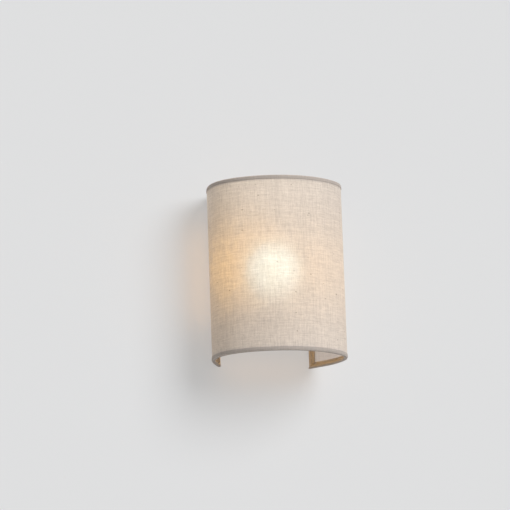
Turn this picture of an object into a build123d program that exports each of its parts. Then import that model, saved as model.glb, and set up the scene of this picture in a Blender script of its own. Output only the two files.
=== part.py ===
from build123d import *
import os
from math import asin, cos, degrees, pi, radians, sin

# Half-round fabric wall light, in millimetres.
# X runs across the wall, -Y out into the room, +Z up.
# The origin is on the wall, on the back of the wall plate, at the shade's mid height.

# ---------------------------------------------------------------- driving dimensions
SHADE_WIDTH = 180.0      # at its widest
SHADE_HEIGHT = 232.0
FRONT_DEPTH = 75.0       # from the widest line out to the front
BACK_DEPTH = 65.0        # from the widest line back to the wall
LEG_TURN = 30.0          # how far each side curls in before it runs straight to the wall, degrees
ARCH_SPLIT = 45.0        # where the side arcs of the front arch meet its flatter middle arc, degrees
WALL_GAP = 0.5           # the bound edges stop this far short of the wall

BINDING = 0.6            # folded fabric strip
FABRIC = 0.6             # linen
LINER = 0.4              # clear laminating sheet behind the linen
BINDING_OUTSIDE = 5.0    # width of the strip seen from outside
BINDING_INSIDE = 8.0     # width of the strip turned to the inside
WIRE = 3.0               # frame wire diameter

LAMP_Z = 11.0            # centre of the lamp's globe
GLOBE_R = 22.5
LAMP_LENGTH = 79.0
CAP_R = 13.0             # screw cap of the lamp
CAP_CLEARANCE = 0.1

PLATE_WIDTH = 90.0
PLATE_TOP = 58.0
PLATE_BOTTOM = -84.0
SHEET = 1.5              # steel of plate, bracket and hanger bar
FLANGE_DEPTH = 9.0
FLANGE_TOP = 46.0
FLANGE_BOTTOM = -76.0

WALL_SLOT_SPACING = 60.3
WALL_SLOT_LENGTH = 10.0
WALL_HOLE_R = 2.25
CABLE_Z = 16.0
CABLE_R = 5.0
GROMMET_R = 9.0
LOWER_HOLE_SPACING = 60.0
LOWER_HOLE_Z = -68.0

LEAD_R = 1.1

# ---------------------------------------------------------------- worked out from them
HALF_WIDTH = SHADE_WIDTH / 2
HALF_HEIGHT = SHADE_HEIGHT / 2
LAMP_Y = -BACK_DEPTH
LAMP_TOP = LAMP_Z + GLOBE_R
LAMP_TIP = LAMP_TOP - LAMP_LENGTH
PLATE_FRONT = -SHEET

# The front of the plan is a three-centre arch: two side arcs and a flatter middle arc, all tangent.
_C = cos(radians(ARCH_SPLIT))
_S = sin(radians(ARCH_SPLIT))
ARCH_MIDDLE_R = (FRONT_DEPTH - _S * HALF_WIDTH / (1 - _C)) / ((1 - _S) - _S * _C / (1 - _C))
ARCH_SIDE_R = (HALF_WIDTH - _C * ARCH_MIDDLE_R) / (1 - _C)
ARCH_SIDE_X = HALF_WIDTH - ARCH_SIDE_R
ARCH_MIDDLE_Y = LAMP_Y - FRONT_DEPTH + ARCH_MIDDLE_R

# How far each layer of the shade lies inside its outer face.
FABRIC_IN = BINDING
LINER_IN = FABRIC_IN + FABRIC
INSIDE = LINER_IN + LINER
WIRE_IN = INSIDE + WIRE / 2
ROLL_R = WIRE / 2 + BINDING
ROLL_JOIN = (ROLL_R ** 2 - (WIRE / 2 - BINDING) ** 2) ** 0.5    # from the wire's centre to the inner leg's foot
ROLL_PAST = degrees(asin((WIRE / 2 - BINDING) / ROLL_R))
EDGE_Y = -WALL_GAP
CONTENT_Y = EDGE_Y - BINDING
UPRIGHT_Y = CONTENT_Y - WIRE / 2
CONTENT_Z = HALF_HEIGHT - BINDING
WIRE_Z = CONTENT_Z - WIRE / 2


def leg_x(inset, y):
    """Half width of the plan where the straight leg, inset from its outer face, is at this y."""
    reach = HALF_WIDTH - inset - (y - LAMP_Y) * sin(radians(LEG_TURN))
    return reach / cos(radians(LEG_TURN))


UPRIGHT_X = leg_x(WIRE_IN, UPRIGHT_Y)


def outline(inset, end_y):
    """Edges of the shade's plan from its left wall edge round the front to its right one."""
    back_r = HALF_WIDTH - inset
    side_r = ARCH_SIDE_R - inset
    middle_r = ARCH_MIDDLE_R - inset
    left_arc = CenterArc((0, LAMP_Y), back_r, 180 - LEG_TURN, LEG_TURN)
    right_arc = CenterArc((0, LAMP_Y), back_r, 0, LEG_TURN)
    x_end = leg_x(inset, end_y)
    return [
        Line((-x_end, end_y), left_arc @ 0),
        left_arc,
        CenterArc((-ARCH_SIDE_X, LAMP_Y), side_r, 180, ARCH_SPLIT),
        CenterArc((0, ARCH_MIDDLE_Y), middle_r, 180 + ARCH_SPLIT, 180 - 2 * ARCH_SPLIT),
        CenterArc((ARCH_SIDE_X, LAMP_Y), side_r, -ARCH_SPLIT, ARCH_SPLIT),
        right_arc,
        Line(right_arc @ 1, (x_end, end_y)),
    ]


def band(outer, inner, end_y):
    """Flat strip of the plan between two insets, cut square to the wall at end_y."""
    edges = outline(outer, end_y) + outline(inner, end_y)
    for side in (-1, 1):
        edges.append(Line((side * leg_x(outer, end_y), end_y), (side * leg_x(inner, end_y), end_y)))
    return make_face(edges)


def follow_outline(section, end_y):
    """Solid of one section (x inward from the outer face, y up) carried round the plan."""
    solid = Part()
    overrun = 12.0
    for edge in outline(0, end_y + overrun):
        start = edge @ 0
        along = edge % 0
        inward = Vector(0, 0, 1).cross(along)
        face = Plane(origin=start, x_dir=inward, z_dir=along) * section
        if edge.geom_type == GeomType.LINE:
            solid += extrude(face, amount=edge.length)
        else:
            solid += revolve(face, Axis(edge.arc_center, (0, 0, 1)), edge.length / edge.radius * 180 / pi)
    big = 2 * SHADE_WIDTH + 2 * SHADE_HEIGHT
    return solid & Pos(0, end_y - big / 2, 0) * Box(big, big, big)


def slab(y_back, y_front, z_low=-HALF_HEIGHT, z_high=HALF_HEIGHT, x_low=-HALF_WIDTH, x_high=HALF_WIDTH):
    """Plain block given by its faces."""
    size = (x_high - x_low, y_back - y_front, z_high - z_low)
    centre = ((x_high + x_low) / 2, (y_back + y_front) / 2, (z_high + z_low) / 2)
    return Pos(*centre) * Box(*size)


def turned(points, smooth=()):
    """Solid turned about the lamp's upright axis from a closed profile of (radius, z) points."""
    edges = []
    for index, start in enumerate(points):
        end = points[(index + 1) % len(points)]
        bulge = dict(smooth).get(index)
        a = Vector(start[0], 0, start[1])
        b = Vector(end[0], 0, end[1])
        if bulge:
            middle = (a + b) * 0.5
            normal = Vector(b.Z - a.Z, 0, a.X - b.X).normalized()
            edges.append(ThreePointArc(a, middle + normal * bulge, b))
        else:
            edges.append(Line(a, b))
    return Pos(0, LAMP_Y, 0) * revolve(make_face(edges), Axis.Z)


# ---------------------------------------------------------------- the shade
def shade_sheet(outer, inner):
    face = band(outer, inner, CONTENT_Y)
    return Pos(0, 0, -CONTENT_Z) * extrude(face, amount=2 * CONTENT_Z, dir=(0, 0, 1))


def side_uprights():
    pair = []
    for side in (-1, 1):
        pair.append(Pos(side * UPRIGHT_X, UPRIGHT_Y, 0) * Cylinder(WIRE / 2, 2 * CONTENT_Z))
    return pair


def frame_ring(height, uprights):
    """Wire bent to the plan and butt-welded between the two uprights."""
    section = Pos(WIRE_IN, height) * Circle(WIRE / 2)
    ring = follow_outline(section, UPRIGHT_Y)
    return largest(ring - uprights[0] - uprights[1])


def rim_section(filled):
    """Strip folded round the lower edge: short leg outside, roll over the wire, longer leg inside."""
    low = -HALF_HEIGHT
    wire = (WIRE_IN, -WIRE_Z)
    join = (INSIDE + BINDING, ROLL_JOIN - WIRE_Z)
    top = low + BINDING_OUTSIDE
    edges = [
        Line((0, top), (0, low + BINDING)),
        CenterArc((BINDING, low + BINDING), BINDING, 180, 90),
        Line((BINDING, low), (WIRE_IN, low)),
        CenterArc(wire, ROLL_R, -90, 180 + ROLL_PAST),
    ]
    if filled:
        edges += Polyline(join, (INSIDE + BINDING, top), (0, top)).edges()
        return make_face(edges)
    tip = low + BINDING_INSIDE
    above_wire = WIRE / 2 - WIRE_Z
    edges += Polyline(join, (INSIDE + BINDING, tip), (INSIDE, tip), (INSIDE, above_wire),
                      (WIRE_IN, above_wire)).edges()
    edges.append(CenterArc(wire, WIRE / 2, -90, 180))
    edges += Polyline((WIRE_IN, -CONTENT_Z), (BINDING, -CONTENT_Z), (BINDING, top), (0, top)).edges()
    return make_face(edges)


def rim_binding():
    """Lower binding: the folded strip round the plan, closed by a turned-in end at each wall edge."""
    rim = follow_outline(rim_section(filled=False), EDGE_Y)
    rim += follow_outline(rim_section(filled=True), EDGE_Y) & slab(EDGE_Y, CONTENT_Y)
    play = 0.1
    half = WIRE / 2 + play
    for side in (-1, 1):
        x = side * UPRIGHT_X
        rim -= slab(CONTENT_Y, UPRIGHT_Y - half, -CONTENT_Z, 0, x - half, x + half)
    return rim - slab(EDGE_Y, EDGE_Y - BINDING_INSIDE - play, BINDING_OUTSIDE - HALF_HEIGHT, 0)


def edge_section():
    """Plan of the strip on the right wall edge: short leg outside, roll round the upright, longer leg inside."""
    along = Vector(sin(radians(LEG_TURN)), -cos(radians(LEG_TURN)))
    outward = Vector(-along.Y, along.X)
    wire = Vector(UPRIGHT_X, UPRIGHT_Y)
    outer_y = EDGE_Y - BINDING_OUTSIDE
    inner_y = EDGE_Y - BINDING_INSIDE
    under_wire = wire + along * (WIRE / 2)
    edges = Polyline(
        wire + Vector(0, ROLL_R), (leg_x(0, EDGE_Y), EDGE_Y), (leg_x(0, outer_y), outer_y),
        (leg_x(BINDING, outer_y), outer_y), (leg_x(BINDING, CONTENT_Y), CONTENT_Y),
        wire + Vector(0, WIRE / 2),
    ).edges()
    edges += Polyline(
        under_wire, under_wire + outward * (WIRE / 2), (leg_x(INSIDE, inner_y), inner_y),
        (leg_x(INSIDE + BINDING, inner_y), inner_y), wire + along * ROLL_JOIN + outward * (WIRE / 2 - BINDING),
    ).edges()
    edges.append(CenterArc(wire, WIRE / 2, 90, 180 + LEG_TURN))
    edges.append(CenterArc(wire, ROLL_R, 90, 180 + LEG_TURN + ROLL_PAST))
    return make_face(edges)


def edge_binding(side):
    """Upright binding along one wall edge, between the two rim bindings, slotted for the hanger bar."""
    strip = extrude(edge_section(), amount=HALF_HEIGHT - BINDING_OUTSIDE, both=True)
    low = POCKET_TOP + SEAT_GAP
    strip -= slab(BAR_BACK, BAR_FRONT, low, low + BAR_HEIGHT, UPRIGHT_X - 2 * WIRE, UPRIGHT_X)
    return strip if side > 0 else mirror(strip, about=Plane.YZ)


def largest(shape):
    return shape.solids().sort_by(SortBy.VOLUME)[-1]


# ---------------------------------------------------------------- how the shade hangs
TONGUE_X = 30.0
TONGUE_WIDTH = 12.0
TONGUE_DROP = 14.0
BAR_HEIGHT = 14.0
POCKET_TOP = 54.0
POCKET_HEIGHT = 11.0
POCKET_SHEET = 1.2
POCKET_SIDE_PLAY = 0.8
POCKET_FRONT_PLAY = 0.4
POCKET_FOOT = 4.0
SEAT_GAP = 0.1
BAR_BACK = UPRIGHT_Y + SHEET / 2
BAR_FRONT = UPRIGHT_Y - SHEET / 2


def hanger_bar(uprights):
    """Flat bar welded between the uprights, with two tongues that drop into the wall plate."""
    low = POCKET_TOP + SEAT_GAP
    bar = slab(BAR_BACK, BAR_FRONT, low, low + BAR_HEIGHT, -UPRIGHT_X, UPRIGHT_X)
    for side in (-1, 1):
        x = side * TONGUE_X
        half = TONGUE_WIDTH / 2
        tongue = slab(BAR_BACK, BAR_FRONT, low - TONGUE_DROP, low, x - half, x + half)
        tip_edges = tongue.edges().filter_by(Axis.Y).sort_by(Axis.Z)[0:2]
        bar += chamfer(tip_edges, 3.5, 2.0)
    return bar - uprights[0] - uprights[1]


def hanger_pockets():
    """Two pressed saddles spot-welded to the plate; each takes one tongue of the shade."""
    half_in = TONGUE_WIDTH / 2 + POCKET_SIDE_PLAY
    inner_y = BAR_FRONT - POCKET_FRONT_PLAY
    outer_y = inner_y - POCKET_SHEET
    half_out = half_in + POCKET_SHEET
    reach = half_out + POCKET_FOOT
    foot_y = PLATE_FRONT - POCKET_SHEET
    pair = []
    for side in (-1, 1):
        points = [
            (-reach, PLATE_FRONT), (-half_in, PLATE_FRONT), (-half_in, inner_y), (half_in, inner_y),
            (half_in, PLATE_FRONT), (reach, PLATE_FRONT), (reach, foot_y), (half_out, foot_y),
            (half_out, outer_y), (-half_out, outer_y), (-half_out, foot_y), (-reach, foot_y),
        ]
        saddle = extrude(make_face(Polyline(*points, close=True)), amount=POCKET_HEIGHT, dir=(0, 0, 1))
        bends = saddle.edges().filter_by(Axis.Z).filter_by_position(Axis.Y, outer_y - 0.01, outer_y + 0.01)
        saddle = fillet(bends, POCKET_SHEET * 0.8)
        pair.append(Pos(side * TONGUE_X, 0, POCKET_TOP - POCKET_HEIGHT) * saddle)
    return pair


# ---------------------------------------------------------------- the wall plate
BRACKET_WIDTH = 26.0
BRACKET_TOP = -50.0
BRACKET_SCREW_X = 7.0
BRACKET_SCREW_Z = -57.0
SCREW_M4_R = 2.0
SCREW_M3_R = 1.5
BLOCK_Z = -29.0
BLOCK_PITCH = 9.0
EARTH_X = 30.0
EARTH_Z = -30.0
PLATE_CORNER_R = 8.0
FOLD_R = 2.5


def through(x, z, radius, depth=40.0):
    """Cutter along Y for a round hole."""
    return Pos(x, 0, z) * Rot(90, 0, 0) * Cylinder(radius, depth)


def back_plate():
    """White steel plate with folded sides, screwed flat to the wall."""
    half = PLATE_WIDTH / 2
    flat = slab(0, PLATE_FRONT, PLATE_BOTTOM, PLATE_TOP, -half, half)
    flat = fillet(flat.edges().filter_by(Axis.Y), PLATE_CORNER_R)
    channel = slab(0, -FLANGE_DEPTH, FLANGE_BOTTOM, FLANGE_TOP, -half, half)
    channel = fillet(channel.edges().filter_by(Axis.Z).sort_by(Axis.Y)[-2:], FOLD_R)
    hollow = slab(PLATE_FRONT, -3 * FLANGE_DEPTH, FLANGE_BOTTOM, FLANGE_TOP, -half + SHEET, half - SHEET)
    hollow = fillet(hollow.edges().filter_by(Axis.Z).sort_by(Axis.Y)[-2:], FOLD_R - SHEET)
    channel -= hollow
    tips = channel.edges().filter_by(Axis.X).filter_by_position(Axis.Y, -FLANGE_DEPTH - 0.1, -FLANGE_DEPTH + 0.1)
    channel = fillet(tips, 4.0)
    keep = slab(0, -2 * FLANGE_DEPTH, FLANGE_BOTTOM, FLANGE_TOP, -half, half)
    plate = (flat - keep) + (flat & keep & channel) + channel
    plate -= through(0, CABLE_Z, GROMMET_R)
    for side in (-1, 1):
        slot = SlotOverall(WALL_SLOT_LENGTH, 2 * WALL_HOLE_R)
        cutter = extrude(Plane.XZ * slot, amount=20, both=True)
        plate -= Pos(side * WALL_SLOT_SPACING / 2, 0, CABLE_Z) * cutter
        plate -= through(side * LOWER_HOLE_SPACING / 2, LOWER_HOLE_Z, WALL_HOLE_R)
        plate -= through(side * BRACKET_SCREW_X, BRACKET_SCREW_Z, SCREW_M4_R)
        plate -= through(side * BLOCK_PITCH / 2, BLOCK_Z, SCREW_M3_R)
    return plate - through(EARTH_X, EARTH_Z, SCREW_M4_R)


def cable_grommet():
    """Rubber bush in the cable hole, with a rounded flange on the room side."""
    flange = 2.0
    sleeve = through(0, CABLE_Z, GROMMET_R, 2 * SHEET) & slab(0, PLATE_FRONT)
    collar = Pos(0, PLATE_FRONT - flange / 2, CABLE_Z) * Rot(90, 0, 0) * Cylinder(GROMMET_R + 2.5, flange)
    collar = fillet(collar.edges().sort_by(Axis.Y)[0], 1.2)
    return sleeve + collar - through(0, CABLE_Z, CABLE_R)


def pan_screw(x, z, seat_y, radius, head_r, head, end_y=0.0):
    """Pan-head screw driven towards the wall, with a cross recess."""
    shank = Pos(x, (seat_y + end_y) / 2, z) * Rot(90, 0, 0) * Cylinder(radius, end_y - seat_y)
    cap = Pos(x, seat_y - head / 2, z) * Rot(90, 0, 0) * Cylinder(head_r, head)
    cap = fillet(cap.edges().sort_by(Axis.Y)[0], head * 0.45)
    screw = shank + cap
    for turn in (0, 90):
        bar = Pos(x, seat_y - head, z) * Rot(0, turn, 0) * Box(head_r * 1.1, head, head_r * 0.28)
        screw -= bar
    return screw


# ---------------------------------------------------------------- the lampholder and its bracket
HOLDER_RIM = LAMP_Z - 26.0
HOLDER_R = 19.5
HOLDER_WALL = 2.0
BODY_BOTTOM = -50.0
CARRIER_TOP = -47.0
CARRIER_BOTTOM = -53.0
TERMINAL_BOTTOM = -57.0
HOLDER_BOTTOM = -79.0
BRACKET_UNDER = HOLDER_BOTTOM - SHEET
SHELL_SHEET = 0.4
CONTACT_SHEET = 0.4
SHELL_R = CAP_R + CAP_CLEARANCE
NIPPLE_R = 5.0
NIPPLE_BORE = 3.5
WASHER = 0.8
NUT = 4.0
NIPPLE_END = BRACKET_UNDER - WASHER - NUT - 1.2
LEAD_Z = -66.0


def lampholder_bracket():
    """Folded steel arm: a foot on the plate, a channel-sided arm, a round end under the holder."""
    half = BRACKET_WIDTH / 2
    end_y = LAMP_Y - half
    foot = slab(PLATE_FRONT, PLATE_FRONT - SHEET, BRACKET_UNDER, BRACKET_TOP, -half, half)
    foot = fillet(foot.edges().filter_by(Axis.Y).sort_by(Axis.Z)[-2:], 5.0)
    arm = slab(PLATE_FRONT, LAMP_Y, BRACKET_UNDER, HOLDER_BOTTOM, -half, half)
    arm += Pos(0, LAMP_Y, HOLDER_BOTTOM - SHEET / 2) * Cylinder(half, SHEET)
    bracket = foot + arm
    inner_bend = bracket.edges().filter_by(Axis.X)
    inner_bend = inner_bend.filter_by_position(Axis.Y, PLATE_FRONT - SHEET - 0.1, PLATE_FRONT - SHEET + 0.1)
    inner_bend = inner_bend.sort_by(Axis.Z)[0]
    bracket = fillet(inner_bend, 2.0)
    outer_bend = bracket.edges().filter_by(Axis.X).sort_by(Axis.Z)[0:4].sort_by(Axis.Y)[-1]
    bracket = fillet(outer_bend, 3.0)
    rise = 7.0
    for side in (-1, 1):
        x_out = side * half
        x_in = side * (half - SHEET)
        web = Polyline(
            (PLATE_FRONT - SHEET, HOLDER_BOTTOM), (PLATE_FRONT - SHEET, HOLDER_BOTTOM + 3 * rise),
            (PLATE_FRONT - SHEET - 2.5 * rise, HOLDER_BOTTOM + rise), (LAMP_Y + 26, HOLDER_BOTTOM + rise),
            (LAMP_Y + 20, HOLDER_BOTTOM), close=True,
        )
        wing = extrude(Plane.YZ * make_face(web), amount=x_out - x_in, dir=(1, 0, 0))
        bracket += Pos(x_in, 0, 0) * wing
    bracket -= Pos(0, LAMP_Y, HOLDER_BOTTOM) * Cylinder(NIPPLE_R, 10)
    for side in (-1, 1):
        bracket -= through(side * BRACKET_SCREW_X, BRACKET_SCREW_Z, SCREW_M4_R)
    return bracket


def lampholder_cap():
    """Lower half of the plastic lampholder: grip ribs, threaded boss, side opening for the leads."""
    wall = HOLDER_R - HOLDER_WALL
    cap = turned([
        (NIPPLE_R, HOLDER_BOTTOM), (9.0, HOLDER_BOTTOM), (9.0, HOLDER_BOTTOM + 3),
        (11.5, HOLDER_BOTTOM + 3), (HOLDER_R, HOLDER_BOTTOM + 11), (HOLDER_R, BODY_BOTTOM),
        (wall, BODY_BOTTOM), (wall, HOLDER_BOTTOM + 11), (10.5, HOLDER_BOTTOM + 5),
        (NIPPLE_R, HOLDER_BOTTOM + 5),
    ], smooth=((3, 2.6), (7, -2.0)))
    rib_top = BODY_BOTTOM - 2
    rib_low = HOLDER_BOTTOM + 12
    rib = Pos(HOLDER_R, 0, (rib_top + rib_low) / 2) * Box(1.2, 1.6, rib_top - rib_low)
    rib = chamfer(rib.edges().filter_by(Axis.Z).sort_by(Axis.X)[-2:], 0.4)
    count = 20
    for step in range(count):
        angle = 360 / count * (step + 0.5)
        if abs(angle - 90) > 360 / count * 1.2:
            cap += Pos(0, LAMP_Y, 0) * Rot(0, 0, angle) * rib
    exit_slot = Pos(0, LAMP_Y + HOLDER_R, LEAD_Z) * Box(12, 10, 6)
    exit_slot = fillet(exit_slot.edges().filter_by(Axis.Y), 2.9)
    return cap - exit_slot


def lampholder_body():
    """Upper half of the lampholder: the skirt round the brass shell, flared at its rim."""
    wall = HOLDER_R - HOLDER_WALL
    sleeve = SHELL_R + SHELL_SHEET
    return turned([
        (wall, BODY_BOTTOM), (HOLDER_R, BODY_BOTTOM), (HOLDER_R, BODY_BOTTOM + 4),
        (HOLDER_R - 1, BODY_BOTTOM + 5), (HOLDER_R - 1, HOLDER_RIM - 5), (HOLDER_R, HOLDER_RIM - 3),
        (HOLDER_R, HOLDER_RIM - 0.8), (HOLDER_R - 0.8, HOLDER_RIM), (HOLDER_R - 2.2, HOLDER_RIM),
        (HOLDER_R - 3, HOLDER_RIM - 0.8), (sleeve, HOLDER_RIM - 7), (sleeve, CARRIER_TOP),
        (wall, CARRIER_TOP),
    ])


def contact_carrier():
    """Insulating disc that holds the shell and the centre contact, with a barrier between its terminals."""
    disc = turned([
        (0, CARRIER_BOTTOM), (HOLDER_R - HOLDER_WALL, CARRIER_BOTTOM),
        (HOLDER_R - HOLDER_WALL, CARRIER_TOP), (0, CARRIER_TOP),
    ])
    barrier = Pos(0, LAMP_Y, (CARRIER_BOTTOM + TERMINAL_BOTTOM) / 2) * Box(2, 24, CARRIER_BOTTOM - TERMINAL_BOTTOM)
    return disc + barrier


def lampholder_shell():
    """Brass screw shell with its rolled lip and turned-in foot."""
    outer = SHELL_R + SHELL_SHEET
    return turned([
        (9.5, CARRIER_TOP), (outer, CARRIER_TOP), (outer, HOLDER_RIM - 7), (SHELL_R, HOLDER_RIM - 7),
        (SHELL_R, CARRIER_TOP + SHELL_SHEET), (9.5, CARRIER_TOP + SHELL_SHEET),
    ])


def centre_contact():
    """Sprung brass strip that presses on the lamp's tip."""
    width = 6.0
    top = LAMP_TIP - SEAT_GAP
    path = [(-7, CARRIER_TOP), (7, CARRIER_TOP), (7, CARRIER_TOP + CONTACT_SHEET + 0.2), (2, top), (-3, top)]
    path += [(-3, top - CONTACT_SHEET), (1.8, top - CONTACT_SHEET), (5.8, CARRIER_TOP + CONTACT_SHEET)]
    path += [(-7, CARRIER_TOP + CONTACT_SHEET)]
    face = Plane.XZ * make_face(Polyline(*path, close=True))
    return Pos(0, LAMP_Y + width / 2, 0) * extrude(face, amount=width, dir=(0, -1, 0))


def holder_terminals():
    """Two brass clamps under the carrier; each leads to one contact."""
    middle = (CARRIER_BOTTOM + TERMINAL_BOTTOM) / 2
    size = (6.0, 6.0, CARRIER_BOTTOM - TERMINAL_BOTTOM)
    pair = []
    for side in (-1, 1):
        block = Pos(side * 9, LAMP_Y, middle) * Box(*size)
        pair.append(chamfer(block.edges().filter_by(Axis.Z), 0.8))
    return pair


def holder_terminal_screws():
    pair = []
    for side in (-1, 1):
        x = side * 9
        y = LAMP_Y - 3
        middle = (CARRIER_BOTTOM + TERMINAL_BOTTOM) / 2
        head = Pos(x, y - 0.8, middle) * Rot(90, 0, 0) * Cylinder(1.6, 1.6)
        head -= Pos(x, y - 1.6, middle) * Box(3.4, 0.9, 0.5)
        pair.append(head)
    return pair


def holder_nipple():
    length = HOLDER_BOTTOM + 7 - NIPPLE_END
    tube = Cylinder(NIPPLE_R, length) - Cylinder(NIPPLE_BORE, length)
    tube = chamfer(tube.edges().group_by(Axis.Z)[0].sort_by(SortBy.RADIUS)[-1], 0.5)
    return Pos(0, LAMP_Y, NIPPLE_END + length / 2) * tube


def nipple_washer():
    """Toothed lock washer under the bracket arm."""
    ring = Cylinder(9.0, WASHER) - Cylinder(NIPPLE_R, WASHER)
    teeth = 12
    for step in range(teeth):
        notch = Rot(0, 0, 360 / teeth * step) * Pos(9.2, 0, 0) * Box(2.4, 1.2, WASHER)
        ring -= notch
    return Pos(0, LAMP_Y, BRACKET_UNDER - WASHER / 2) * ring


def nipple_nut():
    hexagon = extrude(RegularPolygon(8.0, 6), amount=NUT)
    cone = Pos(0, 0, NUT / 2) * Cone(11.0, 7.4, NUT)
    nut = (hexagon & Pos(0, 0, 0) * cone) - Cylinder(NIPPLE_R, 3 * NUT)
    return Pos(0, LAMP_Y, BRACKET_UNDER - WASHER) * Rot(180, 0, 0) * nut


# ---------------------------------------------------------------- the lamp
GLOBE_WALL = 1.2
GLOBE_CUT = LAMP_Z - 12.0
NECK_Z = LAMP_Z - 31.0
CAP_BOTTOM = LAMP_TIP + 3.5
INSULATOR_BOTTOM = LAMP_TIP + 1.5


def globe_radius(height, radius):
    return (radius ** 2 - (height - LAMP_Z) ** 2) ** 0.5


def bulb_globe():
    """Opal globe, open below where the housing holds it."""
    inner_r = GLOBE_R - GLOBE_WALL
    ball = Pos(0, LAMP_Y, LAMP_Z) * (Sphere(GLOBE_R) - Sphere(inner_r))
    return ball - Pos(0, LAMP_Y, GLOBE_CUT - GLOBE_R) * Box(3 * GLOBE_R, 3 * GLOBE_R, 2 * GLOBE_R)


def bulb_housing():
    """Plastic housing that narrows from the globe to the screw cap."""
    rim = globe_radius(GLOBE_CUT, GLOBE_R)
    seat = globe_radius(GLOBE_CUT, GLOBE_R - GLOBE_WALL)
    return turned([
        (0, NECK_Z), (CAP_R + 1.0, NECK_Z), (CAP_R + 1.0, NECK_Z + 1.5), (rim, GLOBE_CUT),
        (seat, GLOBE_CUT), (seat, GLOBE_CUT - 1.6), (0, GLOBE_CUT - 1.6),
    ], smooth=((2, -1.6),))


def led_board():
    """Round board with its ring of light-emitting chips, under the globe."""
    radius = globe_radius(GLOBE_CUT, GLOBE_R - GLOBE_WALL)
    board = Pos(0, LAMP_Y, GLOBE_CUT - 0.8) * Cylinder(radius, 1.6)
    chips = 8
    for step in range(chips):
        chip = Rot(0, 0, 360 / chips * step) * Pos(11, 0, 0.35) * Box(2.8, 3.5, 0.7)
        board += Pos(0, LAMP_Y, GLOBE_CUT) * chip
    return board


def bulb_cap():
    """Screw cap; its rolled thread is a surface finish."""
    return turned([
        (0, CAP_BOTTOM), (10.5, CAP_BOTTOM), (CAP_R, CAP_BOTTOM + 2.5), (CAP_R, NECK_Z), (0, NECK_Z),
    ])


def bulb_insulator():
    return turned([
        (0, INSULATOR_BOTTOM), (5.2, INSULATOR_BOTTOM), (10.5, CAP_BOTTOM), (0, CAP_BOTTOM),
    ])


def bulb_tip_contact():
    return turned([
        (0, LAMP_TIP), (3.2, LAMP_TIP), (4.8, INSULATOR_BOTTOM), (0, INSULATOR_BOTTOM),
    ], smooth=((1, 0.25),))


# ---------------------------------------------------------------- the wiring
BLOCK_HALF = 10.0
BLOCK_AXIS_Y = -8.5
BLOCK_SCREW_Z = 5.0


def terminal_block():
    """Three-pole nylon block: a barrel and two screw towers for each pole, joined by webs."""
    block = slab(PLATE_FRONT, PLATE_FRONT - 3, BLOCK_Z - 6, BLOCK_Z + 6, -1.5 * BLOCK_PITCH, 1.5 * BLOCK_PITCH)
    cuts = []
    for pole in (-1, 0, 1):
        x = pole * BLOCK_PITCH
        base = slab(PLATE_FRONT, BLOCK_AXIS_Y, BLOCK_Z - BLOCK_HALF, BLOCK_Z + BLOCK_HALF, x - 3.7, x + 3.7)
        barrel = Pos(x, BLOCK_AXIS_Y, BLOCK_Z) * Cylinder(3.7, 2 * BLOCK_HALF)
        block += base + barrel
        cuts.append(Pos(x, BLOCK_AXIS_Y, BLOCK_Z) * Cylinder(2.4, 2 * BLOCK_HALF))
        for end in (-1, 1):
            z = BLOCK_Z + end * BLOCK_SCREW_Z
            block += Pos(x, BLOCK_AXIS_Y - 3.5, z) * Rot(90, 0, 0) * Cylinder(3.0, 7.0)
            cuts.append(Pos(x, BLOCK_AXIS_Y - 5, z) * Rot(90, 0, 0) * Cylinder(1.9, 10.0))
    for cut in cuts:
        block -= cut
    for side in (-1, 1):
        block -= through(side * BLOCK_PITCH / 2, BLOCK_Z, SCREW_M3_R)
        block -= Pos(side * BLOCK_PITCH / 2, -12.5, BLOCK_Z) * Rot(90, 0, 0) * Cylinder(2.9, 16)
    return block


def terminal_inserts():
    """Brass tubes inside the block, one for each pole."""
    tubes = []
    for pole in (-1, 0, 1):
        tube = Cylinder(2.4, 15) - Cylinder(1.4, 15)
        tubes.append(Pos(pole * BLOCK_PITCH, BLOCK_AXIS_Y, BLOCK_Z) * tube)
    return tubes


def terminal_screws():
    screws = []
    for pole in (-1, 0, 1):
        for end in (-1, 1):
            x = pole * BLOCK_PITCH
            z = BLOCK_Z + end * BLOCK_SCREW_Z
            screw = Pos(x, BLOCK_AXIS_Y - 4, z) * Rot(90, 0, 0) * Cylinder(1.9, 3.2)
            screw -= Pos(x, BLOCK_AXIS_Y - 5.6, z) * Box(4, 1.2, 0.5)
            screws.append(screw)
    return screws


def lead(points, radii, name):
    """Insulated lead along straight runs joined by tangent arcs."""
    route = FilletPolyline(*points, radius=radii)
    tube = sweep(Plane(origin=route @ 0, z_dir=route % 0) * Circle(LEAD_R), path=route)
    expected = pi * LEAD_R ** 2 * route.length
    print(name, "radii", radii, "length", round(route.length, 1), "volume ratio", round(tube.volume / expected, 4))
    return tube


LEAD_TOP = BLOCK_Z - 7.5
LEAD_BEND = 8.0


def live_lead():
    points = [(-9, LAMP_Y, TERMINAL_BOTTOM), (-9, LAMP_Y, LEAD_Z), (-3.2, LAMP_Y + 19, LEAD_Z)]
    points += [(-BLOCK_PITCH, BLOCK_AXIS_Y, LEAD_Z), (-BLOCK_PITCH, BLOCK_AXIS_Y, LEAD_TOP)]
    return lead(points, [LEAD_BEND, 30.0, LEAD_BEND], "live_lead")


def neutral_lead():
    points = [(9, LAMP_Y, TERMINAL_BOTTOM), (9, LAMP_Y, LEAD_Z), (3.2, LAMP_Y + 19, LEAD_Z)]
    points += [(0, BLOCK_AXIS_Y, LEAD_Z), (0, BLOCK_AXIS_Y, LEAD_TOP)]
    return lead(points, [LEAD_BEND, 60.0, LEAD_BEND], "neutral_lead")


TAG_SHEET = 0.8
TAG_AXIS_Y = PLATE_FRONT - 0.6 - 1.9
TAG_BARREL_TOP = EARTH_Z - 6.0
TAG_BARREL = 7.0


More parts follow.
